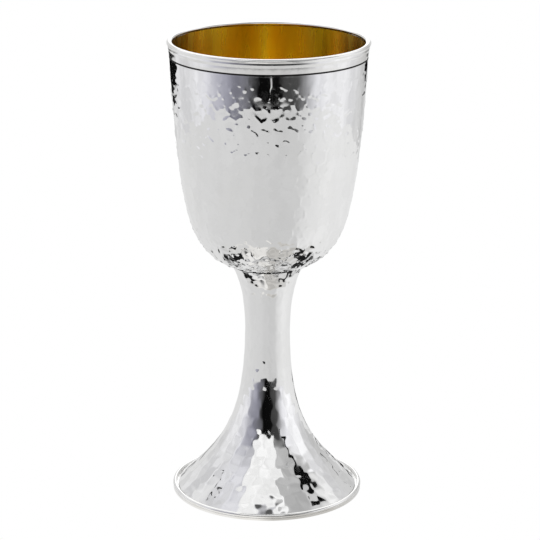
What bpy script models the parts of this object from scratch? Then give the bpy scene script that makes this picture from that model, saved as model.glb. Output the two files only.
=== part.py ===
"""A hammered silver kiddush cup, gilt inside, on a tall trumpet foot.

The cup is four pieces of silver soldered together: the raised bowl, the moulded band round
its lip, the trumpet that is both stem and foot, and the wire that the foot stands on.
All four are turned about Z. The origin is on the table, on the cup's axis.
"""

import math
import random

import bpy

# Heights, in metres
STEM_HEIGHT = 0.0767
BOWL_HEIGHT = 0.0730

# Bowl
BOWL_MOUTH_RADIUS = 0.0314
BOWL_WALL = 0.0008
MOUTH_TAPER = 0.05
SHOULDER_RADIUS = 0.0260
SHOULDER_RISE = 0.0179
SHOULDER_TAPER = 0.23

# Moulded band round the lip
LIP_WIDTH = 0.0018
LIP_THICKNESS = 0.0015
LIP_OVERHANG = 0.0008
BAND_HEIGHT = 0.0032
BAND_PROUD = 0.0004
BAND_GROOVE = 0.0002
BAND_SEAT = 0.0004
UPPER_BEAD_SHARE = 0.42

# Stem and trumpet foot, narrowest at the waist
STEM_TOP_RADIUS = 0.0120
WAIST_RADIUS = 0.0073
WAIST_DROP = 0.0211
FOOT_WALL = 0.0008
FLARE_ANGLE = math.radians(41.0)
STEM_TOP_SPREAD = 0.9

# Wire under the foot: a bead on a flat strip
FOOT_RADIUS = 0.0311
FOOT_BEAD = 0.0014
BASE_STRIP = 0.0006
BASE_STRIP_INSET = 0.0001
LEDGE_MARGIN = 0.0002

# Clearances between pieces, and the flat of the bowl over the stem
SOLDER_GAP = 0.0003
FLAT_INSET = 0.0010

# Hammer marks: every other point of a skin's grid is the middle of a blow
BLOW_SPACING = 0.0036
BLOW_DEPTH = 0.00015
BLOW_UNEVENNESS = 0.35
HAMMER_SEED = 11

# Where the two beads' ovals start and end, in degrees turned up from outwards
LIP_ARC = (240, -60)
FOOT_BEAD_ARC = (180, -60)

# How far each Bezier handle reaches, as a share of the stretch that it shapes
MOUTH_REACH = 0.23
SHOULDER_REACH_UP = 0.31
SHOULDER_REACH_DOWN = 0.96
STEM_TOP_REACH = 0.21
WAIST_REACH_UP = 0.19
WAIST_REACH_DOWN = 0.57
FLARE_REACH = 0.90

# Metals: colour and roughness
HAMMERED_SILVER = ((0.91, 0.91, 0.90), 0.10)
POLISHED_SILVER = ((0.93, 0.93, 0.92), 0.06)
GILDING = ((0.78, 0.48, 0.09), 0.28)

# Heights and radii that follow from the sizes above
BOWL_BOTTOM = STEM_HEIGHT + SOLDER_GAP
LIP_TOP = BOWL_BOTTOM + BOWL_HEIGHT
LIP_UNDERSIDE = LIP_TOP - LIP_THICKNESS
BOWL_EDGE = LIP_UNDERSIDE - SOLDER_GAP
BAND_BOTTOM = LIP_UNDERSIDE - BAND_HEIGHT
BOWL_LEDGE = BAND_BOTTOM - SOLDER_GAP
WAIST_HEIGHT = STEM_HEIGHT - WAIST_DROP
FOOT_LEDGE = BASE_STRIP + FOOT_BEAD / 2
FLARE_BOTTOM = FOOT_LEDGE + SOLDER_GAP
FLARE_RADIUS = FOOT_RADIUS - FOOT_BEAD - SOLDER_GAP

# How finely the turned shapes are drawn
CURVE_STEPS = 200
INNER_SPACING = 0.0060
RING_STEPS = 48
FEWEST_STEPS = 24
ARC_STEP = 30
BEAD_STEPS = 4
CORNER_ANGLE = math.radians(40.0)
MERGE_DISTANCE = 0.000001
SAME_POINT = 0.00001


def bezier(start, start_handle, end_handle, end):
    """Closely spaced (radius, height) points along one cubic curve."""
    points = []
    for i in range(CURVE_STEPS + 1):
        t = i / CURVE_STEPS
        weights = ((1 - t) ** 3, 3 * t * (1 - t) ** 2, 3 * t * t * (1 - t), t**3)
        corners = (start, start_handle, end_handle, end)
        points.append(tuple(sum(w * c[k] for w, c in zip(weights, corners)) for k in (0, 1)))
    return points


def arc(centre, half_width, half_height, ends):
    """Points clockwise along an oval, between two angles in degrees, 0 being outwards."""
    start, end = ends
    turns = [math.radians(angle) for angle in range(start, end - 1, -ARC_STEP)]
    return [
        (centre[0] + half_width * math.cos(a), centre[1] + half_height * math.sin(a)) for a in turns
    ]


def swell(radius, rise, top, bottom):
    """A shallow bead on a vertical face, from its top down to its bottom."""
    shares = [i / BEAD_STEPS for i in range(BEAD_STEPS + 1)]
    return [(radius + rise * math.sin(math.pi * s), top + (bottom - top) * s) for s in shares]


def evenly_spaced(points, spacing):
    """The same line with its points an equal distance apart, near to spacing."""
    reached = [0.0]
    for a, b in zip(points, points[1:]):
        reached.append(reached[-1] + math.dist(a, b))
    count = max(1, round(reached[-1] / spacing))
    spaced, k = [], 0
    for i in range(count + 1):
        wanted = reached[-1] * i / count
        while k < len(points) - 2 and reached[k + 1] < wanted:
            k += 1
        share = (wanted - reached[k]) / (reached[k + 1] - reached[k])
        spaced.append(tuple(p + share * (q - p) for p, q in zip(points[k], points[k + 1])))
    return spaced


def inside_of(points, wall):
    """The line moved towards the axis by the wall, for a line that runs from top to bottom."""
    moved = []
    for i, (radius, height) in enumerate(points):
        before, after = points[max(i - 1, 0)], points[min(i + 1, len(points) - 1)]
        along = (after[0] - before[0], after[1] - before[1])
        length = math.hypot(*along)
        moved.append((radius + wall * along[1] / length, height - wall * along[0] / length))
    return moved


def radius_at(points, height):
    """Where a falling line crosses a height, or its nearer end beyond it."""
    for (r0, z0), (r1, z1) in zip(points, points[1:]):
        if z0 >= height >= z1 and z0 > z1:
            return r0 + (r1 - r0) * (z0 - height) / (z0 - z1)
    return points[0][0] if height > points[0][1] else points[-1][0]


def bowl_line():
    """The bowl's outside, from the ledge under the band to the flat over the stem."""
    wall_height = BOWL_LEDGE - BOWL_BOTTOM - SHOULDER_RISE
    mouth = (BOWL_MOUTH_RADIUS, BOWL_LEDGE)
    shoulder = (SHOULDER_RADIUS, BOWL_BOTTOM + SHOULDER_RISE)
    mouth_reach = MOUTH_REACH * wall_height
    reach_up = SHOULDER_REACH_UP * wall_height
    reach_down = SHOULDER_REACH_DOWN * SHOULDER_RISE
    wall = bezier(
        mouth,
        (mouth[0] - MOUTH_TAPER * mouth_reach, mouth[1] - mouth_reach),
        (shoulder[0] + SHOULDER_TAPER * reach_up, shoulder[1] + reach_up),
        shoulder,
    )
    flat = (STEM_TOP_RADIUS - FLAT_INSET, BOWL_BOTTOM)
    belly = bezier(
        shoulder,
        (shoulder[0] - SHOULDER_TAPER * reach_down, shoulder[1] - reach_down),
        flat,
        flat,
    )
    return wall + belly[1:]


def trumpet_line():
    """The outside of stem and foot, from under the bowl down to the ledge of the wire."""
    top = (STEM_TOP_RADIUS, STEM_HEIGHT)
    waist = (WAIST_RADIUS, WAIST_HEIGHT)
    end = (FLARE_RADIUS, FLARE_BOTTOM)
    upper, lower = STEM_HEIGHT - WAIST_HEIGHT, WAIST_HEIGHT - FLARE_BOTTOM
    top_reach = STEM_TOP_REACH * upper
    flare_reach = FLARE_REACH * (FLARE_RADIUS - WAIST_RADIUS)
    neck = bezier(
        top,
        (top[0] - STEM_TOP_SPREAD * top_reach, top[1] - top_reach),
        (waist[0], waist[1] + WAIST_REACH_UP * upper),
        waist,
    )
    flare = bezier(
        waist,
        (waist[0], waist[1] - WAIST_REACH_DOWN * lower),
        (end[0] - flare_reach * math.cos(FLARE_ANGLE), end[1] + flare_reach * math.sin(FLARE_ANGLE)),
        end,
    )
    return neck + flare[1:]


def inner_wall(outside, wall, top, bottom):
    """The inside of a shell from its bottom edge up to its top edge, both cut off level."""
    line = inside_of(outside, wall)
    kept = [p for p in line if bottom < p[1] < top]
    ends = (radius_at(line, top), top), (radius_at(line, bottom), bottom)
    return evenly_spaced([ends[0], *kept, ends[1]], INNER_SPACING)[::-1]


def turn(name, profile, steps, collection, closed):
    """Spins a (radius, height) profile about Z with a Screw modifier and keeps the mesh."""
    count = len(profile)
    edges = [(i, (i + 1) % count) for i in range(count if closed else count - 1)]
    outline = bpy.data.meshes.new(name + "_profile")
    outline.from_pydata([(r, 0.0, z) for r, z in profile], edges, [])
    turned = bpy.data.objects.new(name, outline)
    collection.objects.link(turned)
    screw = turned.modifiers.new("Turn", "SCREW")
    screw.angle = math.tau
    screw.steps = screw.render_steps = steps
    screw.use_merge_vertices = True
    screw.merge_threshold = MERGE_DISTANCE
    graph = bpy.context.evaluated_depsgraph_get()
    mesh = bpy.data.meshes.new_from_object(turned.evaluated_get(graph))
    turned.modifiers.clear()
    turned.data = mesh
    bpy.data.meshes.remove(outline)
    mesh.name = name
    mesh.shade_smooth()
    mesh.set_sharp_from_angle(angle=CORNER_ANGLE)
    return turned


def hammer(piece, rows, steps):
    """Sinks every other point of the outer skin, so that four ridges ring each blow.

    Rows are the skin's (radius, height) points. The first and the last stay as turned,
    because the neighbouring pieces meet the skin there.
    """
    chance = random.Random(HAMMER_SEED)
    unevenness = [
        [1.0 + BLOW_UNEVENNESS * (2.0 * chance.random() - 1.0) for _ in range(steps)] for _ in rows
    ]
    for vertex in piece.data.vertices:
        x, y, z = vertex.co
        radius = math.hypot(x, y)
        misses = [math.dist(point, (radius, z)) for point in rows[1:-1]]
        row = misses.index(min(misses)) + 1
        column = round(math.atan2(y, x) / math.tau * steps) % steps
        if min(misses) > SAME_POINT or (row + column) % 2:
            continue
        (r0, z0), (r1, z1) = rows[row - 1], rows[row + 1]
        length = math.dist((r0, z0), (r1, z1))
        depth = BLOW_DEPTH * unevenness[row][column]
        inwards, upwards = depth * (z0 - z1) / length, depth * (r0 - r1) / length
        vertex.co = (x * (1 - inwards / radius), y * (1 - inwards / radius), z + upwards)


def even_steps(radius):
    """An even number of segments, so that the marks close up round the piece."""
    return max(FEWEST_STEPS, 2 * round(math.pi * radius / BLOW_SPACING))


def metal(name, finish):
    """A plain metallic material of one colour and one roughness."""
    colour, roughness = finish
    made = bpy.data.materials.new(name)
    made.use_nodes = True
    shader = made.node_tree.nodes["Principled BSDF"]
    shader.inputs["Base Color"].default_value = (*colour, 1.0)
    shader.inputs["Metallic"].default_value = 1.0
    shader.inputs["Roughness"].default_value = roughness
    return made


def build_bowl(collection, silver, gilt):
    """The raised bowl: hammered outside, smooth and gilt inside, thinned where the band sits."""
    line = bowl_line()
    steps = even_steps(BOWL_MOUTH_RADIUS)
    skin = evenly_spaced(line, BLOW_SPACING)
    seat_radius = BOWL_MOUTH_RADIUS - BAND_SEAT
    floor_height = BOWL_BOTTOM + BOWL_WALL
    inside = inner_wall(line, BOWL_WALL, BOWL_LEDGE, floor_height)
    profile = [
        (0.0, floor_height),
        *inside,
        (inside[-1][0], BOWL_EDGE),
        (seat_radius, BOWL_EDGE),
        (seat_radius, BOWL_LEDGE),
        *skin,
        (0.0, BOWL_BOTTOM),
    ]
    bowl = turn("bowl", profile, steps, collection, closed=False)
    hammer(bowl, skin, steps)
    bowl.data.materials.append(silver)
    bowl.data.materials.append(gilt)
    middle = inside_of(line, BOWL_WALL / 2)
    for face in bowl.data.polygons:
        x, y, z = face.center
        if z > floor_height - BOWL_WALL / 2 and math.hypot(x, y) < radius_at(middle, z):
            face.material_index = 1
    return bowl


def build_rim_band(collection, silver):
    """A thick rounded lip with two beads under it, sitting on the bowl's edge and round it."""
    lip_radius = BOWL_MOUTH_RADIUS + LIP_OVERHANG - LIP_WIDTH / 2
    lip_height = LIP_TOP - LIP_THICKNESS / 2
    band_radius = BOWL_MOUTH_RADIUS + BAND_PROUD
    inner_radius = BOWL_MOUTH_RADIUS - BAND_SEAT + SOLDER_GAP
    bead_split = LIP_UNDERSIDE - UPPER_BEAD_SHARE * BAND_HEIGHT
    groove_radius = band_radius - BAND_GROOVE
    profile = [
        *arc((lip_radius, lip_height), LIP_WIDTH / 2, LIP_THICKNESS / 2, LIP_ARC),
        *swell(groove_radius, BAND_GROOVE, LIP_UNDERSIDE, bead_split),
        *swell(groove_radius, BAND_GROOVE, bead_split, BAND_BOTTOM)[1:],
        (inner_radius, BAND_BOTTOM),
        (inner_radius, LIP_UNDERSIDE),
    ]
    band = turn("rim_band", profile, RING_STEPS, collection, closed=True)
    band.data.materials.append(silver)
    return band


def build_stem_and_foot(collection, silver):
    """One hammered trumpet of sheet silver, open at both ends."""
    line = trumpet_line()
    steps = even_steps((FLARE_RADIUS + WAIST_RADIUS) / 2)
    skin = evenly_spaced(line, BLOW_SPACING)
    profile = [*skin, *inner_wall(line, FOOT_WALL, STEM_HEIGHT, FLARE_BOTTOM)]
    trumpet = turn("stem_and_foot", profile, steps, collection, closed=True)
    hammer(trumpet, skin, steps)
    trumpet.data.materials.append(silver)
    return trumpet


def build_foot_wire(collection, silver):
    """A bead on a flat strip, with a ledge inside that carries the edge of the foot."""
    bead_centre = (FOOT_RADIUS - FOOT_BEAD / 2, FOOT_LEDGE)
    strip_radius = FOOT_RADIUS - BASE_STRIP_INSET
    foot_inside = inner_wall(trumpet_line(), FOOT_WALL, STEM_HEIGHT, FLARE_BOTTOM)[0][0]
    inner_radius = foot_inside - LEDGE_MARGIN
    profile = [
        (inner_radius, FOOT_LEDGE),
        *arc(bead_centre, FOOT_BEAD / 2, FOOT_BEAD / 2, FOOT_BEAD_ARC),
        (strip_radius, BASE_STRIP),
        (strip_radius, 0.0),
        (inner_radius, 0.0),
    ]
    wire = turn("foot_wire", profile, RING_STEPS, collection, closed=True)
    wire.data.materials.append(silver)
    return wire


def main():
    for old in list(bpy.data.objects):
        bpy.data.objects.remove(old)
    collection = bpy.data.collections.new("kiddush_cup")
    bpy.context.scene.collection.children.link(collection)
    hammered = metal("hammered_silver", HAMMERED_SILVER)
    polished = metal("polished_silver", POLISHED_SILVER)
    gilt = metal("gilding", GILDING)
    build_bowl(collection, hammered, gilt)
    build_rim_band(collection, polished)
    build_stem_and_foot(collection, hammered)
    build_foot_wire(collection, polished)


main()
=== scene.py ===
import math
import bmesh
import bpy
import numpy as np
from mathutils import Matrix, Vector, noise


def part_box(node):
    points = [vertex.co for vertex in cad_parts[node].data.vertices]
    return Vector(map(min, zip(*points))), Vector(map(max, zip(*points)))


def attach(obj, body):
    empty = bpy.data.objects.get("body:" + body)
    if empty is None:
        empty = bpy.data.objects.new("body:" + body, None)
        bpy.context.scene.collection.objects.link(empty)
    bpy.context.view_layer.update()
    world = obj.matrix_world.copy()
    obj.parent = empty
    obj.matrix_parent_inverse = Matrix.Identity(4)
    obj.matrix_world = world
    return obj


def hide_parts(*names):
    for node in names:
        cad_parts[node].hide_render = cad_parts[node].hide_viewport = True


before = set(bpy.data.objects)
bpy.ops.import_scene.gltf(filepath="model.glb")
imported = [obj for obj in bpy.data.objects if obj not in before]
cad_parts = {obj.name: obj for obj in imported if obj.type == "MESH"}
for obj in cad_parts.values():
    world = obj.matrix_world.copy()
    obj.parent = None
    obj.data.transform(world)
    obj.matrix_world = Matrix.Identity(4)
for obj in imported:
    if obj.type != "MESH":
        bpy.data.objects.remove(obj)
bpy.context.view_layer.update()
MM = 0.001


# Bowl: raised from one sheet of silver over a stake, planished outside with a round-faced
# hammer until the blows meet in low ridges, then mirror polished. The inside is smooth and
# electro-gilt. Its edge is thinned to take the moulded band.
BOWL_LOW, BOWL_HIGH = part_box("bowl")
BAND_LOW, BAND_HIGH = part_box("rim_band")
GOLD_SLOT = 1
OXIDE_AND_SHADE_SLOT = 2
SOLDER_GAP = 0.3 * MM
BOWL_WALL = 0.8 * MM
BAND_SEAT = 0.4 * MM
FLAT_RADIUS = 11.0 * MM
SHOULDER_RADIUS = 26.0 * MM
SHOULDER_RISE = 17.9 * MM
MOUTH_TAPER = 0.05
SHOULDER_TAPER = 0.23
MOUTH_REACH = 0.23
SHOULDER_REACH_UP = 0.31
SHOULDER_REACH_DOWN = 0.96
BOWL_ROWS = 164
BOWL_COLUMNS = 560
INNER_ROWS = 40
INNER_COLUMNS = 112
BLOW_PITCH = 4.2 * MM
# How far the black of the joint runs below the band: painted shade under the band, over the oxidised
# solder line
JOINT_LINE = 0.24 * MM
GILT_LAP = 0.6 * MM

# The blows, here and on the trumpet: between which radii the work counts as thin and as wide,
# how far blows stray in parts of their spacing, and how many of them shape a point
THIN_RADIUS = 8.0 * MM
WIDE_RADIUS = 18.0 * MM
WANDER = 0.16
STAGGER = 0.4
FEWEST_BLOWS = 7
BLOWS_FELT = 4
BLOW_REACH = 2.2
THIN_LEAN = 0.3

# The edges of the blows: how they are rounded, and how the ridges and the crinkles run
ROUNDING = 0.25 * MM
RIDGE_WIDTH = 0.32 * MM
RIDGE_BREAK = 1.5 * MM
CREST_BASE = 0.10
CREST_GAIN = 2.4
CRINKLE = 1.7 * MM


def curve(*corners):
    """Points along a cubic curve through four (radius, height) corners, as an array."""
    t = np.linspace(0.0, 1.0, 401)[:, None]
    a, b, c, d = (np.array(corner) for corner in corners)
    return (1 - t) ** 3 * a + 3 * t * (1 - t) ** 2 * b + 3 * t * t * (1 - t) * c + t**3 * d


def along(line):
    """The distance walked from the start of a line to each of its points."""
    steps = np.linalg.norm(np.diff(line, axis=0), axis=1)
    return np.concatenate([[0.0], np.cumsum(steps)])


def sample(line, walked):
    """Points of a line at given distances from its start, and the outward normals there."""
    reached = along(line)
    slopes = np.gradient(line, reached, axis=0)
    points = np.stack([np.interp(walked, reached, line[:, k]) for k in (0, 1)], axis=-1)
    tangent = np.stack([np.interp(walked, reached, slopes[:, k]) for k in (0, 1)], axis=-1)
    tangent /= np.linalg.norm(tangent, axis=-1, keepdims=True)
    return points, np.stack([-tangent[..., 1], tangent[..., 0]], axis=-1)


def turned(pairs, angle):
    """Swings (radius, height) pairs, or (outward, upward) ones, round the axis by an angle."""
    out, up = pairs[..., 0], pairs[..., 1]
    return np.stack([out * np.sin(angle), -out * np.cos(angle), up], axis=-1)


def unevenness(points, size):
    """Smooth noise of one size at each of the points, from about -1 to 1."""
    return np.array([noise.noise(Vector(point) / size) for point in points])


def strike(line, pitch, chance):
    """Hammer blows in staggered rounds down a line: their places, normals and distances."""
    length = along(line)[-1]
    rounds = int(length / (pitch * math.sqrt(3) / 2))
    walked, angles = [], []
    for k in range(rounds + 1):
        here = length * (k + 0.5) / (rounds + 1)
        radius = np.interp(here, along(line), line[:, 0])
        count = max(FEWEST_BLOWS, round(math.tau * radius / pitch))
        offsets = (np.arange(count) + 0.5 * (k % 2) + chance.uniform(0, STAGGER)) / count
        angles.append(math.tau * (offsets + WANDER * chance.uniform(-1, 1, count) / count))
        walked.append(here + WANDER * pitch * chance.uniform(-1, 1, count))
    walked, angles = np.clip(np.concatenate(walked), 0, length), np.concatenate(angles)
    points, normals = sample(line, walked)
    return turned(points, angles), turned(normals, angles), walked


def planished(line, rows, columns, pitch, flatness, tilt, sink, ridge, margins, coarse, seed):
    """Rings of points of a hammered skin: flat-bottomed blows that meet in low ridges.

    Flatness is how much of the turned curve a blow takes out, first where the work is as thin
    as the stem and then where it is wide. Tilt is in radians, sink and ridge are depths, and
    margins are the lengths at both ends that were left smooth. Coarse is where along the line
    rougher hammering begins and is full, how much deeper it is, and how deep it is crinkled.
    """
    chance = np.random.default_rng(seed)
    places, normals, walked = strike(line, pitch, chance)
    width = np.hypot(places[:, 0], places[:, 1])
    wide = np.clip((width - THIN_RADIUS) / (WIDE_RADIUS - THIN_RADIUS), 0, 1)
    lean = chance.normal(0.0, tilt, (len(places), 3)) * (THIN_LEAN + (1 - THIN_LEAN) * wide[:, None])
    depth = np.abs(chance.normal(0.0, sink, len(places)))
    flattening = flatness[0] + (flatness[1] - flatness[0]) * wide
    rounding = 2 * pitch * ROUNDING
    length = along(line)[-1]
    rings = []
    for here in np.linspace(0.0, length, rows + 1):
        pair, facing = sample(line, np.array([here]))
        angles = np.arange(columns) / columns * math.tau
        points = turned(np.repeat(pair, columns, axis=0), angles)
        outward = turned(np.repeat(facing, columns, axis=0), angles)
        near = np.flatnonzero(np.abs(walked - here) < BLOW_REACH * pitch)
        gaps = np.linalg.norm(points[:, None] - places[near], axis=2)
        order = np.argsort(gaps, axis=1)[:, :BLOWS_FELT]
        gaps = np.take_along_axis(gaps, order, axis=1)
        blows = near[order]
        offset = places[blows] - points[:, None]
        plane = (offset * normals[blows]).sum(2) / (outward[:, None] * normals[blows]).sum(2)
        cut = flattening[blows] * plane - (offset * lean[blows]).sum(2) - depth[blows]
        weight = np.exp(-(gaps**2 - gaps[:, :1] ** 2) / rounding)
        height = (cut * weight).sum(1) / weight.sum(1)
        first, second = blows[:, 0], blows[:, 1]
        apart = np.linalg.norm(places[first] - places[second], axis=1)
        border = (gaps[:, 1] ** 2 - gaps[:, 0] ** 2) / (2 * apart)
        crest = np.clip(CREST_BASE + CREST_GAIN * unevenness(points, RIDGE_BREAK), 0, 1)
        height += ridge * crest * np.exp(-((border / RIDGE_WIDTH) ** 2))
        start, end = margins
        fade = min(1.0, here / start) * min(1.0, (length - here) / end)
        begins, full, deeper, crinkled = coarse
        rougher = min(1.0, max(0.0, (here - begins) / (full - begins)))
        height *= 1 + (deeper - 1) * rougher
        if rougher > 0:
            height += crinkled * rougher * unevenness(points, CRINKLE)
        height *= fade * fade * (3 - 2 * fade)
        rings.append(points + outward * height[:, None])
    return rings


def smooth_rings(pairs, columns):
    """Rings of points for plain turned work, one for each (radius, height) pair."""
    angles = np.arange(columns) / columns * math.tau
    return [turned(np.repeat(np.array([pair]), columns, axis=0), angles) for pair in pairs]


def add_skin(work, rings, material=0, first=None):
    """Joins rings of equal count by faces, on from a first ring of vertices if it is given."""
    made = [first] if first else []
    made += [[work.verts.new(point) for point in ring] for ring in rings]
    for upper, lower in zip(made, made[1:]):
        count = len(upper)
        for i in range(count):
            j = (i + 1) % count
            work.faces.new((upper[i], lower[i], lower[j], upper[j])).material_index = material
    return made


def close_skin(work, ring, point, material=0):
    """Closes a ring with a fan to a point on the axis."""
    centre = work.verts.new(point)
    for a, b in zip(ring, ring[1:] + ring[:1]):
        work.faces.new((a, b, centre)).material_index = material


def join_rings(work, fine, coarse):
    """Joins a ring to one with a whole number of times fewer points."""
    step = len(fine) // len(coarse)
    for i, corner in enumerate(coarse):
        for j in range(i * step, (i + 1) * step):
            work.faces.new((fine[j], fine[(j + 1) % len(fine)], corner))
        work.faces.new((fine[(i + 1) * step % len(fine)], coarse[(i + 1) % len(coarse)], corner))


def finish_piece(name, work, materials, corner=35):
    """Makes the object from a bmesh, with outward faces and corners kept sharp."""
    bmesh.ops.recalc_face_normals(work, faces=work.faces)
    mesh = bpy.data.meshes.new(name)
    work.to_mesh(mesh)
    work.free()
    mesh.shade_smooth()
    mesh.set_sharp_from_angle(angle=math.radians(corner))
    for material in materials:
        mesh.materials.append(material)
    piece = bpy.data.objects.new(name, mesh)
    bpy.context.scene.collection.objects.link(piece)
    return piece


def new_metal(name, colour, roughness):
    """A metal that the finishes below build on: the material, its nodes and its shader."""
    material = bpy.data.materials.new(name)
    material.use_nodes = True
    shader = material.node_tree.nodes["Principled BSDF"]
    shader.inputs["Base Color"].default_value = (*colour, 1)
    shader.inputs["Metallic"].default_value = 1.0
    shader.inputs["Roughness"].default_value = roughness
    return material, material.node_tree, shader


def speckle(tree, scale, detail, stretch=(1, 1, 1)):
    """Noise over the piece, in its own space, pulled out along an axis by stretch."""
    place = tree.nodes.new("ShaderNodeTexCoord")
    pull = tree.nodes.new("ShaderNodeMapping")
    pull.inputs["Scale"].default_value = stretch
    grain = tree.nodes.new("ShaderNodeTexNoise")
    grain.inputs["Scale"].default_value = scale
    grain.inputs["Detail"].default_value = detail
    tree.links.new(place.outputs["Object"], pull.inputs["Vector"])
    tree.links.new(pull.outputs["Vector"], grain.inputs["Vector"])
    return grain.outputs["Fac"]


def between(tree, factor, low, high, low_at=0.35, high_at=0.65):
    """Turns a noise, or another value, into one that runs from low to high."""
    span = tree.nodes.new("ShaderNodeMapRange")
    span.inputs["From Min"].default_value = low_at
    span.inputs["From Max"].default_value = high_at
    span.inputs["To Min"].default_value = low
    span.inputs["To Max"].default_value = high
    tree.links.new(factor, span.inputs["Value"])
    return span.outputs["Result"]


def blend(tree, factor, first, second, kind="MIX"):
    """Mixes two colours in a node tree."""
    mix = tree.nodes.new("ShaderNodeMix")
    mix.data_type = "RGBA"
    mix.blend_type = kind
    for value, socket in ((factor, "Factor"), (first, "A"), (second, "B")):
        if isinstance(value, (int, float)):
            mix.inputs[socket].default_value = value
        elif isinstance(value, tuple):
            mix.inputs[socket].default_value = (*value, 1)
        else:
            tree.links.new(value, mix.inputs[socket])
    return mix.outputs["Result"]


def scratch(tree, shader, height, strength, distance):
    """Adds fine relief to a shader from a height."""
    bump = tree.nodes.new("ShaderNodeBump")
    bump.inputs["Strength"].default_value = strength
    bump.inputs["Distance"].default_value = distance
    tree.links.new(height, bump.inputs["Height"])
    tree.links.new(bump.outputs["Normal"], shader.inputs["Normal"])


def hammered_silver():
    """Mirror-polished silver with a breath of tarnish and the drag of the polishing mop."""
    material, tree, shader = new_metal("hammered_silver", (0.93, 0.93, 0.93), 0.05)
    cloud = between(tree, speckle(tree, 90, 5), 0, 1)
    tone = blend(tree, cloud, (0.925, 0.925, 0.92), (0.94, 0.94, 0.94))
    tree.links.new(tone, shader.inputs["Base Color"])
    tree.links.new(between(tree, speckle(tree, 260, 6), 0.03, 0.085), shader.inputs["Roughness"])
    scratch(tree, shader, speckle(tree, 900, 3, (1, 1, 0.15)), 0.02, 0.02 * MM)
    return material


# Colour of the gilt round the bowl, with painted light: the narrow bright stops are painted highlights,
# upright streaks on the far wall, and the dark stops are painted shade at the ends. The part of a full
# turn, then red, green and blue
GILT_PAINTED_LIGHT_TONES = (
    (0, 0.52, 0.35, 0.05), (0.12, 0.97, 0.65, 0.02), (0.40, 0.97, 0.65, 0.02),
    (0.53, 0.72, 0.54, 0.16), (0.58, 0.82, 0.60, 0.10), (0.64, 0.95, 0.65, 0.02),
    (0.665, 0.97, 0.67, 0.02), (0.678, 1.0, 0.78, 0.05), (0.692, 0.96, 0.65, 0.02),
    (0.740, 0.95, 0.64, 0.015), (0.757, 1.0, 0.85, 0.05), (0.774, 0.95, 0.64, 0.015),
    (0.84, 0.99, 0.65, 0.03), (0.90, 0.86, 0.58, 0.05), (0.955, 0.38, 0.25, 0.03),
)


def gilding():
    """Gold plate over lathe marks: satin, deep yellow, with faint random upright streaks, and with
    painted light round the bowl: upright streaks of painted highlight and ends darkened with painted
    shade.
    """
    material, tree, shader = new_metal("gilding", (0.88, 0.60, 0.02), 0.26)
    place = tree.nodes.new("ShaderNodeTexCoord")
    dial = tree.nodes.new("ShaderNodeTexGradient")
    dial.gradient_type = "RADIAL"
    tree.links.new(place.outputs["Object"], dial.inputs["Vector"])
    # The ramp paints light and shade into the gold by the azimuth: painted highlights in narrow streaks,
    # painted shade at the ends.
    ramp = tree.nodes.new("ShaderNodeValToRGB")
    stops = ramp.color_ramp.elements
    stops.remove(stops[-1])
    for k, (turn, red, green, blue) in enumerate(GILT_PAINTED_LIGHT_TONES):
        stop = stops.new(turn) if k else stops[0]
        stop.position = turn
        stop.color = (red, green, blue, 1)
    tree.links.new(dial.outputs["Fac"], ramp.inputs["Fac"])
    streaks = between(tree, speckle(tree, 170, 4, (1, 1, 0.08)), 0.92, 1.0, 0.3, 0.7)
    colour = blend(tree, 1.0, ramp.outputs["Color"], streaks, "MULTIPLY")
    tree.links.new(colour, shader.inputs["Base Color"])
    satin = between(tree, speckle(tree, 300, 4, (1, 1, 0.15)), 0.20, 0.30)
    tree.links.new(satin, shader.inputs["Roughness"])
    scratch(tree, shader, speckle(tree, 90, 2, (1, 1, 0.12)), 0.12, 0.20 * MM)
    round_the_axis = tree.nodes.new("ShaderNodeTangent")
    round_the_axis.direction_type = "RADIAL"
    round_the_axis.axis = "Z"
    tree.links.new(round_the_axis.outputs["Tangent"], shader.inputs["Tangent"])
    shader.inputs["Anisotropic"].default_value = 0.9
    shader.inputs["Anisotropic Rotation"].default_value = 0.25
    return material


def joint_oxide_and_painted_shade():
    """The line where the band meets the bowl, black with old polish and oxidised solder, and painted
    shade: the black runs on below the band as the shadow under it.
    """
    material, tree, shader = new_metal("joint_oxide_and_painted_shade", (0.03, 0.028, 0.026), 0.5)
    grime = between(tree, speckle(tree, 1200, 3), 0, 1)
    tone = blend(tree, grime, (0.012, 0.012, 0.012), (0.07, 0.065, 0.06))
    tree.links.new(tone, shader.inputs["Base Color"])
    tree.links.new(between(tree, grime, 0.4, 0.6, 0, 1), shader.inputs["Roughness"])
    return material


silver = hammered_silver()
gold = gilding()
oxide_and_shade = joint_oxide_and_painted_shade()

ledge_height = BAND_LOW.z - SOLDER_GAP
mouth = (BOWL_HIGH.x, ledge_height)
wall_height = ledge_height - BOWL_LOW.z - SHOULDER_RISE
shoulder = (SHOULDER_RADIUS, BOWL_LOW.z + SHOULDER_RISE)
flat = (FLAT_RADIUS, BOWL_LOW.z)
reach_down = SHOULDER_REACH_DOWN * SHOULDER_RISE
reach_up = SHOULDER_REACH_UP * wall_height
mouth_reach = MOUTH_REACH * wall_height
bowl_line = np.concatenate(
    [
        curve(
            mouth,
            (mouth[0] - MOUTH_TAPER * mouth_reach, mouth[1] - mouth_reach),
            (shoulder[0] + SHOULDER_TAPER * reach_up, shoulder[1] + reach_up),
            shoulder,
        ),
        curve(
            shoulder,
            (shoulder[0] - SHOULDER_TAPER * reach_down, shoulder[1] - reach_down),
            flat,
            flat,
        )[1:-1],
    ]
)
skin = planished(
    bowl_line, BOWL_ROWS, BOWL_COLUMNS, BLOW_PITCH,
    flatness=(0.2, 0.2), tilt=0.006, sink=0.004 * MM, ridge=0.092 * MM,
    margins=(6 * MM, 0.6 * MM), coarse=(50 * MM, 57 * MM, 2.4, 0.14 * MM), seed=3,
)
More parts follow.
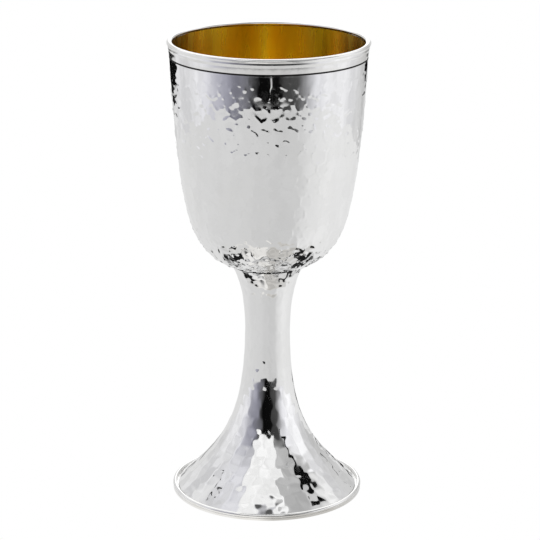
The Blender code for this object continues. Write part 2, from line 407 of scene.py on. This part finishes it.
seat_radius = BOWL_HIGH.x - BAND_SEAT
inner_walked = np.linspace(0, along(bowl_line)[-1], INNER_ROWS)
inner_pairs, inner_normals = sample(bowl_line, inner_walked)
inner_pairs = inner_pairs - BOWL_WALL * inner_normals
inner_pairs[0] = (inner_pairs[0][0], BOWL_HIGH.z + GILT_LAP)
joint_pairs = [
    (seat_radius, BOWL_HIGH.z),
    (seat_radius, ledge_height),
    mouth,
    (mouth[0], mouth[1] - JOINT_LINE),
]
work = bmesh.new()
# The joint's rings take the black finish: oxidised solder and painted shade under the band
joint = add_skin(work, smooth_rings(joint_pairs, BOWL_COLUMNS), material=OXIDE_AND_SHADE_SLOT)
outside = add_skin(work, skin[1:], first=joint[-1])
close_skin(work, outside[-1], (0, 0, BOWL_LOW.z))
inside = add_skin(work, smooth_rings(inner_pairs, INNER_COLUMNS), material=GOLD_SLOT)
close_skin(work, inside[-1], (0, 0, BOWL_LOW.z + BOWL_WALL), material=GOLD_SLOT)
join_rings(work, joint[0], inside[0])
bowl = finish_piece("bowl_of_silver", work, [silver, gold, oxide_and_shade])
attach(bowl, "root")
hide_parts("bowl")


# Band round the lip: a ring of drawn moulding, with a thick rounded lip over two beads,
# bent to the bowl's mouth and soldered over its thinned edge. It is polished plain.
BAND_COLUMNS = 360
MERGE_GAP = 0.0001 * MM
LIP_WIDTH = 1.8 * MM
LIP_THICKNESS = 1.25 * MM
LIP_ARC = (240, -38)
LIP_POINTS = 30
BEAD_RISE = 0.012 * MM
UPPER_BEAD_SHARE = 0.42
UPPER_BEAD_POINTS = 12
LOWER_BEAD_POINTS = 16
BAND_PROUD = 0.4 * MM
BAND_TAPER = 0.36 * MM
NECK_HEIGHT = 0.6 * MM
NECK_DROPS = (0.05 * MM, 0.1 * MM, 0.5 * MM)


def oval(centre, half_width, half_height, start, end, count):
    """Points clockwise along an oval between two angles in degrees, 0 being outwards."""
    turns = np.radians(np.linspace(start, end, count))
    return [(centre[0] + half_width * math.cos(a), centre[1] + half_height * math.sin(a)) for a in turns]


def bead(top, bottom, rise, count):
    """A shallow bead down a face between two (radius, height) places."""
    pairs = []
    for share in np.linspace(0, 1, count):
        radius = top[0] + (bottom[0] - top[0]) * share + rise * math.sin(math.pi * share)
        pairs.append((radius, top[1] + (bottom[1] - top[1]) * share))
    return pairs


def polished_silver():
    """Plain polished silver with hairline drag marks round the cup."""
    material, tree, shader = new_metal("polished_silver", (0.94, 0.94, 0.93), 0.08)
    cloud = between(tree, speckle(tree, 140, 4), 0, 1)
    tone = blend(tree, cloud, (0.90, 0.895, 0.88), (0.96, 0.96, 0.955))
    tree.links.new(tone, shader.inputs["Base Color"])
    tree.links.new(between(tree, speckle(tree, 500, 5), 0.07, 0.14), shader.inputs["Roughness"])
    scratch(tree, shader, speckle(tree, 1500, 3, (0.1, 0.1, 1)), 0.03, 0.02 * MM)
    return material


plain = polished_silver()
lip_centre = (BAND_HIGH.x - LIP_WIDTH / 2, BAND_HIGH.z - LIP_THICKNESS / 2)
lip_underside = BAND_HIGH.z - LIP_THICKNESS
bead_split = lip_underside - UPPER_BEAD_SHARE * (lip_underside - BAND_LOW.z)
band_neck = [(BOWL_HIGH.x + BAND_PROUD, lip_underside - drop) for drop in NECK_DROPS]
band_top = (BOWL_HIGH.x + BAND_PROUD, lip_underside - NECK_HEIGHT)
band_middle = (BOWL_HIGH.x + BAND_PROUD - UPPER_BEAD_SHARE * BAND_TAPER, bead_split)
band_bottom = (BOWL_HIGH.x + BAND_PROUD - BAND_TAPER, BAND_LOW.z)
band_inside = BOWL_HIGH.x - BAND_SEAT + SOLDER_GAP
band_pairs = [
    *oval(lip_centre, LIP_WIDTH / 2, LIP_THICKNESS / 2, *LIP_ARC, LIP_POINTS),
    *band_neck,
    *bead(band_top, band_middle, BEAD_RISE, UPPER_BEAD_POINTS),
    *bead(band_middle, band_bottom, BEAD_RISE, LOWER_BEAD_POINTS)[1:],
    (band_inside, BAND_LOW.z),
    (band_inside, lip_underside),
]
work = bmesh.new()
rings = smooth_rings(band_pairs, BAND_COLUMNS)
add_skin(work, rings + rings[:1])
bmesh.ops.remove_doubles(work, verts=work.verts, dist=MERGE_GAP)
band = finish_piece("moulded_lip_band", work, [plain], corner=50)
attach(band, "root")
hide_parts("rim_band")


# Stem and foot: one trumpet of sheet silver, seamed, hammered to shape on a stake and
# planished all over, soldered under the bowl. It is open below.
TRUMPET_LOW, TRUMPET_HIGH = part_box("stem_and_foot")
TRUMPET_ROWS = 208
TRUMPET_COLUMNS = 420
TRUMPET_INNER_COLUMNS = 84
FOOT_BLOW_PITCH = 3.7 * MM
FOOT_WALL = 0.8 * MM
STEM_TOP_RADIUS = 12.0 * MM
WAIST_RADIUS = 7.3 * MM
WAIST_DROP = 21.1 * MM
STEM_TOP_SPREAD = 0.9
FLARE_ANGLE = math.radians(41)
STEM_TOP_REACH = 0.21
WAIST_REACH_UP = 0.19
WAIST_REACH_DOWN = 0.57
FLARE_REACH = 0.90

waist = (WAIST_RADIUS, TRUMPET_HIGH.z - WAIST_DROP)
flare_end = (TRUMPET_HIGH.x, TRUMPET_LOW.z)
drop_below = waist[1] - flare_end[1]
flare_reach = FLARE_REACH * (flare_end[0] - waist[0])
top_reach = STEM_TOP_REACH * WAIST_DROP
trumpet_line = np.concatenate(
    [
        curve(
            (STEM_TOP_RADIUS, TRUMPET_HIGH.z),
            (STEM_TOP_RADIUS - STEM_TOP_SPREAD * top_reach, TRUMPET_HIGH.z - top_reach),
            (waist[0], waist[1] + WAIST_REACH_UP * WAIST_DROP),
            waist,
        ),
        curve(
            waist,
            (waist[0], waist[1] - WAIST_REACH_DOWN * drop_below),
            (
                flare_end[0] - flare_reach * math.cos(FLARE_ANGLE),
                flare_end[1] + flare_reach * math.sin(FLARE_ANGLE),
            ),
            flare_end,
        )[1:],
    ]
)
skin = planished(
    trumpet_line, TRUMPET_ROWS, TRUMPET_COLUMNS, FOOT_BLOW_PITCH,
    flatness=(0.2, 0.9), tilt=0.025, sink=0.014 * MM, ridge=0.008 * MM,
    margins=(0.6 * MM, 1.8 * MM), coarse=(16 * MM, 7 * MM, 1.5, 0.12 * MM), seed=8,
)
inner_pairs, inner_normals = sample(trumpet_line, np.linspace(0, along(trumpet_line)[-1], INNER_ROWS))
inner_pairs = inner_pairs - FOOT_WALL * inner_normals
inner_pairs[:, 1] = np.clip(inner_pairs[:, 1], TRUMPET_LOW.z, TRUMPET_HIGH.z)
work = bmesh.new()
outside = add_skin(work, skin)
inside = add_skin(work, smooth_rings(inner_pairs, TRUMPET_INNER_COLUMNS))
join_rings(work, outside[0], inside[0])
join_rings(work, outside[-1], inside[-1])
trumpet = finish_piece("trumpet_stem_and_foot", work, [silver])
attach(trumpet, "root")
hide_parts("stem_and_foot")


# Foot wire: a half-round wire on a flat strip, bent to a ring and soldered under the edge of
# the foot, so that the thin sheet doesn't stand on the table.
WIRE_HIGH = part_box("foot_wire")[1]
WIRE_COLUMNS = 360
FOOT_BEAD = 1.4 * MM
BASE_STRIP = 0.6 * MM
BASE_STRIP_INSET = 0.1 * MM
LEDGE_MARGIN = 0.2 * MM
WIRE_ARC = (180, -60)
WIRE_POINTS = 24

foot_ledge = BASE_STRIP + FOOT_BEAD / 2
strip_radius = WIRE_HIGH.x - BASE_STRIP_INSET
wire_inside = inner_pairs[-1][0] - LEDGE_MARGIN
bead_centre = (WIRE_HIGH.x - FOOT_BEAD / 2, foot_ledge)
wire_pairs = [
    (wire_inside, foot_ledge),
    *oval(bead_centre, FOOT_BEAD / 2, FOOT_BEAD / 2, *WIRE_ARC, WIRE_POINTS),
    (strip_radius, BASE_STRIP),
    (strip_radius, 0.0),
    (wire_inside, 0.0),
]
work = bmesh.new()
rings = smooth_rings(wire_pairs, WIRE_COLUMNS)
add_skin(work, rings + rings[:1])
bmesh.ops.remove_doubles(work, verts=work.verts, dist=MERGE_GAP)
wire = finish_piece("beaded_foot_wire", work, [plain], corner=50)
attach(wire, "root")
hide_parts("foot_wire")


# Studio: a white table in a tent of white cloth, which is all that polished silver shows.
# The tent is open in front, where the camera stands in the dark, and its front roof is the
# one strong light. Only the silver sees any of this: the camera sees a plain pale room.
TENT_RADIUS = 1.2
TENT_HEIGHT = 0.03
DOME_ELEVATIONS = range(-36, 91, 6)
DOME_AZIMUTHS = range(0, 360, 5)
ROOF_BEGINS = 0.56
ROOF_FULL = 0.72
CROWN_BEGINS = 1.143
CROWN_FULL = 1.151
PATCH_RADIUS = 0.96 * TENT_RADIUS
SEAM_RADIUS = 0.93 * TENT_RADIUS
DARK_STRENGTH = 0.004
TABLE_RADIUS = 0.408
STAND_RIM_RADIUS = 0.079
STAND_RADIUS = 0.066
MIDDLE_RADIUS = 47 * MM
MIDDLE_PLACE = (0, -2 * MM)
MIDDLE_HEIGHT = -0.1 * MM
STAND_HEIGHT = -0.2 * MM
STAND_RIM_HEIGHT = -0.28 * MM
TABLE_HEIGHT = -0.35 * MM
FLOOR_HEIGHT = -0.4 * MM
FLOOR_REACH = 4.0
TAPE_ENDS = (0.100, 0.132)
TAPE_SIDES = (150, 160)
ROUND_CORNERS = 64
WARM_GREEN = 0.3

# Tones by the azimuth in degrees, from the front round to the right: azimuth, brightness
# and blueness, which is below nought where the tone is warm
WALL_TONES = (
    (-180, 1.60, 0), (-166, 0.80, 0), (-150, 0.72, 0), (-128, 0.76, 0.02), (-107, 0.80, 0.02),
    (-89, 0.84, 0.03), (-75, 0.74, 0.06), (-62, 0.50, 0.12), (-49, 0.36, 0.16), (-37, 0.24, 0.18),
    (-27, 0.17, 0.12), (-18, 0.06, 0.05), (-10, 0.003, 0), (11, 0.004, 0), (18, 0.05, 0),
    (34, 0.07, 0), (43, 0.30, 0.03), (49, 0.60, 0.04), (57, 0.84, 0.04), (66, 0.97, 0.03),
    (80, 1.0, 0.02), (96, 0.95, 0.02), (113, 0.80, 0.02), (136, 0.62, 0), (150, 0.54, 0),
    (166, 0.70, 0),
)
ROOF_TONES = (
    (-180, 1.15, 0), (-150, 1.10, 0), (-125, 0.95, 0), (-105, 0.80, 0.02), (-85, 0.76, 0.04),
    (-60, 0.68, 0.06), (0, 0.60, 0.04), (30, 0.52, 0), (75, 0.50, 0), (100, 0.60, 0),
    (115, 0.95, 0), (150, 1.10, 0),
)
TABLE_TONES = (
    (-180, 0.78, 0), (-135, 0.75, 0), (-90, 0.70, 0), (-45, 0.68, 0), (0, 0.64, 0),
    (12, 0.615, 0), (36, 0.63, 0), (52, 0.75, 0), (80, 0.84, 0), (135, 0.81, 0),
)
# The stand's tables: painted light and shade for its glowing rounds, bright stops as painted highlights
# and near-black stops as painted shade in the silver
RIM_TONES = (
    (-180, 0.62, 0), (-110, 0.60, 0), (-70, 0.66, -0.02), (-45, 0.76, -0.04), (-4, 0.82, -0.05),
    (3, 0.57, -0.07), (40, 0.58, -0.07), (70, 0.64, -0.03), (110, 0.60, 0),
)
STAND_TONES = (
    (-180, 0.60, 0), (-158, 0.55, 0), (-150, 0.40, 0), (-132, 0.30, 0), (-124, 0.25, 0),
    (-114, 0.15, 0), (-106, 0.012, 0), (-58, 0.012, 0), (-50, 0.25, 0), (-40, 0.60, -0.03),
    (-20, 0.80, -0.04), (-4, 0.78, -0.05), (3, 0.48, -0.07), (30, 0.48, -0.07), (52, 0.48, -0.03),
    (59, 0.10, 0), (64, 0.012, 0), (110, 0.012, 0), (117, 0.12, 0), (123, 0.02, 0),
    (146, 0.02, 0), (154, 0.45, 0),
)
MIDDLE_TONES = (
    (-180, 0.80, 0), (-90, 0.78, 0), (-45, 0.86, -0.03), (-5, 0.86, -0.05), (4, 0.53, -0.07),
    (45, 0.57, -0.06), (90, 0.72, 0),
)


def stage_sheet(name, corners, faces, material):
    """A part of the studio, seen in the silver and not by the camera."""
    mesh = bpy.data.meshes.new(name)
    mesh.from_pydata(corners, [], faces)
    mesh.materials.append(material)
    sheet = bpy.data.objects.new(name, mesh)
    bpy.context.scene.collection.objects.link(sheet)
    sheet.visible_camera = False
    return sheet


def glow(name, strength=1.0):
    """A material that gives off light of its own: the material, its nodes and the light."""
    material = bpy.data.materials.new(name)
    material.use_nodes = True
    tree = material.node_tree
    tree.nodes.clear()
    light = tree.nodes.new("ShaderNodeEmission")
    light.inputs["Color"].default_value = (1, 1, 1, 1)
    light.inputs["Strength"].default_value = strength
    out = tree.nodes.new("ShaderNodeOutputMaterial")
    tree.links.new(light.outputs["Emission"], out.inputs["Surface"])
    return material, tree, light


def tone_round(tree, tones):
    """The colour by the azimuth round the cup, from a table of tones."""
    place = tree.nodes.new("ShaderNodeTexCoord")
    quarter_turn = tree.nodes.new("ShaderNodeMapping")
    quarter_turn.inputs["Rotation"].default_value = (0, 0, math.radians(90))
    dial = tree.nodes.new("ShaderNodeTexGradient")
    dial.gradient_type = "RADIAL"
    ramp = tree.nodes.new("ShaderNodeValToRGB")
    stops = ramp.color_ramp.elements
    while len(stops) > 1:
        stops.remove(stops[-1])
    stops[0].position = 0
    for k, (azimuth, brightness, blue) in enumerate((*tones, (180, *tones[0][1:]))):
        stop = stops.new((azimuth + 180) / 360) if k else stops[0]
        red = 1 - blue / 2
        green = 1 - max(blue, WARM_GREEN * blue) / 2
        stop.color = (brightness * red, brightness * green, brightness * (1 + blue / 2), 1)
    tree.links.new(place.outputs["Object"], quarter_turn.inputs["Vector"])
    tree.links.new(quarter_turn.outputs["Vector"], dial.inputs["Vector"])
    tree.links.new(dial.outputs["Fac"], ramp.inputs["Fac"])
    return ramp.outputs["Color"]


def height_fade(tree, low, high):
    """Runs from 0 to 1 between two heights of a studio sheet."""
    place = tree.nodes.new("ShaderNodeTexCoord")
    split = tree.nodes.new("ShaderNodeSeparateXYZ")
    tree.links.new(place.outputs["Object"], split.inputs["Vector"])
    return between(tree, split.outputs["Z"], 0, 1, low, high)


def tent_cloth():
    """The tent: its walls, its roof and a dark crown, with the cloth's uneven brightness."""
    material, tree, light = glow("tent_cloth")
    walls = tone_round(tree, WALL_TONES)
    roof = tone_round(tree, ROOF_TONES)
    colour = blend(tree, height_fade(tree, ROOF_BEGINS, ROOF_FULL), walls, roof)
    colour = blend(tree, height_fade(tree, CROWN_BEGINS, CROWN_FULL), colour, (0.09, 0.09, 0.09))
    folds = between(tree, speckle(tree, 3.0, 3), 0.82, 1.12)
    colour = blend(tree, 1.0, colour, folds, "MULTIPLY")
    tree.links.new(colour, light.inputs["Color"])
    return material


def dome_point(azimuth, elevation, reach=TENT_RADIUS):
    """A place on the tent, or nearer by a smaller reach, from its direction in degrees."""
    a, e = math.radians(azimuth), math.radians(elevation)
    return (reach * math.sin(a) * math.cos(e), -reach * math.cos(a) * math.cos(e), reach * math.sin(e))


dome_corners = [dome_point(azimuth, up) for up in DOME_ELEVATIONS for azimuth in DOME_AZIMUTHS]
around = len(DOME_AZIMUTHS)
dome_faces = [
    (low + i, low + (i + 1) % around, low + around + (i + 1) % around, low + around + i)
    for low in range(0, around * (len(DOME_ELEVATIONS) - 1), around)
    for i in range(around)
]
tent = stage_sheet("tent", dome_corners, dome_faces, tent_cloth())
tent.location.z = TENT_HEIGHT


def patch(name, rows, material, columns=12):
    """A sheet hung inside the tent, its rows given as elevation, left and right azimuth."""
    corners = [
        dome_point(left + (right - left) * i / columns, elevation, PATCH_RADIUS)
        for elevation, left, right in rows
        for i in range(columns + 1)
    ]
    across = columns + 1
    faces = [
        (low + i, low + i + 1, low + across + i + 1, low + across + i)
        for low in range(0, across * (len(rows) - 1), across)
        for i in range(columns)
    ]
    sheet = stage_sheet(name, corners, faces, material)
    sheet.location.z = TENT_HEIGHT
    return sheet


dark = glow("dark_behind", strength=DARK_STRENGTH)[0]


def seam(name, directions, widths):
    """An open seam of the tent, dark behind, its half-widths in degrees."""
    corners = []
    for (azimuth, elevation), half in zip(directions, widths):
        corners.append(dome_point(azimuth + half, elevation - half, SEAM_RADIUS))
        corners.append(dome_point(azimuth - half, elevation + half, SEAM_RADIUS))
    faces = [(2 * k, 2 * k + 1, 2 * k + 3, 2 * k + 2) for k in range(len(directions) - 1)]
    sheet = stage_sheet(name, corners, faces, dark)
    sheet.location.z = TENT_HEIGHT
    return sheet


def softbox_cloth():
    """The strong light's cloth, a little uneven from its folds and its lamps."""
    material, tree, light = glow("softbox_cloth")
    uneven = between(tree, speckle(tree, 5.0, 3), 0.84, 1.02)
    tree.links.new(uneven, light.inputs["Strength"])
    return material


# The strong light, a lit slit in the dark front, the tent's gaps and a dark tape on the table
patch(
    "key_softbox",
    [(26, -30, 20), (44, -45, 24), (58, -56, 28), (66, -70, 40), (71.6, -84, 58)],
    softbox_cloth(),
)
slit_light = glow("bright_slit", strength=0.9)[0]
patch("bright_slit", [(-13, 2.2, 3.4), (-7, 2.2, 3.4)], slit_light, columns=1)
seam(
    "right_seam",
    [(44, 23), (53, 30), (60, 36), (67, 39), (76, 41.5), (84, 43.8), (91, 45.5), (97, 46.5)],
    [2.4, 2.8, 3.2, 3.4, 4.0, 5.6, 6.6, 3.4],
)
seam("back_seam", [(144, 4), (142, 9), (140, 14)], [0.9, 1.0, 0.6])
patch("left_peg_hole", [(37.8, -103.5, -98), (40.6, -103.5, -98)], dark, columns=1)
patch("left_upper_peg_hole", [(43.8, -102, -96), (45.8, -102, -96)], dark, columns=1)
patch(
    "left_back_opening",
    [(-9.0, -154, -138), (-8.0, -162, -131), (-7.0, -168, -127), (-5.5, -168, -125)],
    dark,
)
patch("right_back_opening", [(-7.8, 150, 161), (-7.2, 144, 161), (-5.5, 140, 161)], dark)
tape_corners = [dome_point(side, 0, reach) for reach in TAPE_ENDS for side in TAPE_SIDES]
stage_sheet("dark_tape_behind", tape_corners, [(0, 1, 3, 2)], dark)


def table_top():
    """The table's white top, lit unevenly from the tent."""
    material, tree, light = glow("table_top")
    cloud = between(tree, speckle(tree, 12, 3), 0.97, 1.03)
    colour = blend(tree, 1.0, tone_round(tree, TABLE_TONES), cloud, "MULTIPLY")
    tree.links.new(colour, light.inputs["Color"])
    return material


def stand_top(name, tones):
    """A round of the low stand that the cup is on, glowing with painted light and shade by the azimuth
    from its table of tones: bright patches and near-black ones for the silver to reflect.
    """
    material, tree, light = glow(name)
    tree.links.new(tone_round(tree, tones), light.inputs["Color"])
    return material


def flat_round(name, radius, height, material, middle=(0, 0)):
    """A flat round sheet, level with the table."""
    turns = [math.tau * k / ROUND_CORNERS for k in range(ROUND_CORNERS)]
    x, y = middle
    corners = [(x + radius * math.sin(a), y - radius * math.cos(a), height) for a in turns]
    return stage_sheet(name, corners, [range(ROUND_CORNERS)], material)


# The sheets lie just below the foot, each a little lower than the one on it
flat_round("table", TABLE_RADIUS, TABLE_HEIGHT, table_top())
# The stand's rounds glow with painted light and shade
flat_round("stand_rim", STAND_RIM_RADIUS, STAND_RIM_HEIGHT, stand_top("stand_rim", RIM_TONES))
flat_round("stand", STAND_RADIUS, STAND_HEIGHT, stand_top("stand_edge", STAND_TONES))
middle_top = stand_top("stand_middle", MIDDLE_TONES)
flat_round("stand_middle", MIDDLE_RADIUS, MIDDLE_HEIGHT, middle_top, MIDDLE_PLACE)

floor_corners = [
    (FLOOR_REACH * x, FLOOR_REACH * y, FLOOR_HEIGHT) for x, y in ((-1, -1), (1, -1), (1, 1), (-1, 1))
]
floor = stage_sheet("floor", floor_corners, [range(4)], glow("floor_paint")[0])
floor.visible_camera = True
floor.visible_glossy = False
floor.visible_diffuse = False

world = bpy.data.worlds.new("white_room")
bpy.context.scene.world = world
world.use_nodes = True
world.node_tree.nodes["Background"].inputs["Color"].default_value = (1, 1, 1, 1)
world.node_tree.nodes["Background"].inputs["Strength"].default_value = 1.0
world.cycles_visibility.glossy = False
world.cycles_visibility.diffuse = False
bpy.context.scene.view_settings.view_transform = "Standard"


# Camera: a long lens on a stand in front of the tent, above the lip and looking down on the
# cup. Its place and its lens were solved from the photograph.
CAMERA_PLACE = (0.72 * MM, -698.07 * MM, 284.92 * MM)
CAMERA_DOWN = 16.7775
CAMERA_ROLL = 0.28057
SENSOR_WIDTH = 36.0
FOCAL_LENGTH = 150.216

lens = bpy.data.cameras.new("long_lens")
lens.sensor_width = SENSOR_WIDTH
lens.lens = FOCAL_LENGTH
lens.clip_start = 0.01
camera = bpy.data.objects.new("camera", lens)
bpy.context.scene.collection.objects.link(camera)
camera.matrix_world = (
    Matrix.Translation(Vector(CAMERA_PLACE))
    @ Matrix.Rotation(math.radians(90 - CAMERA_DOWN), 4, "X")
    @ Matrix.Rotation(math.radians(CAMERA_ROLL), 4, "Z")
)
bpy.context.scene.camera = camera
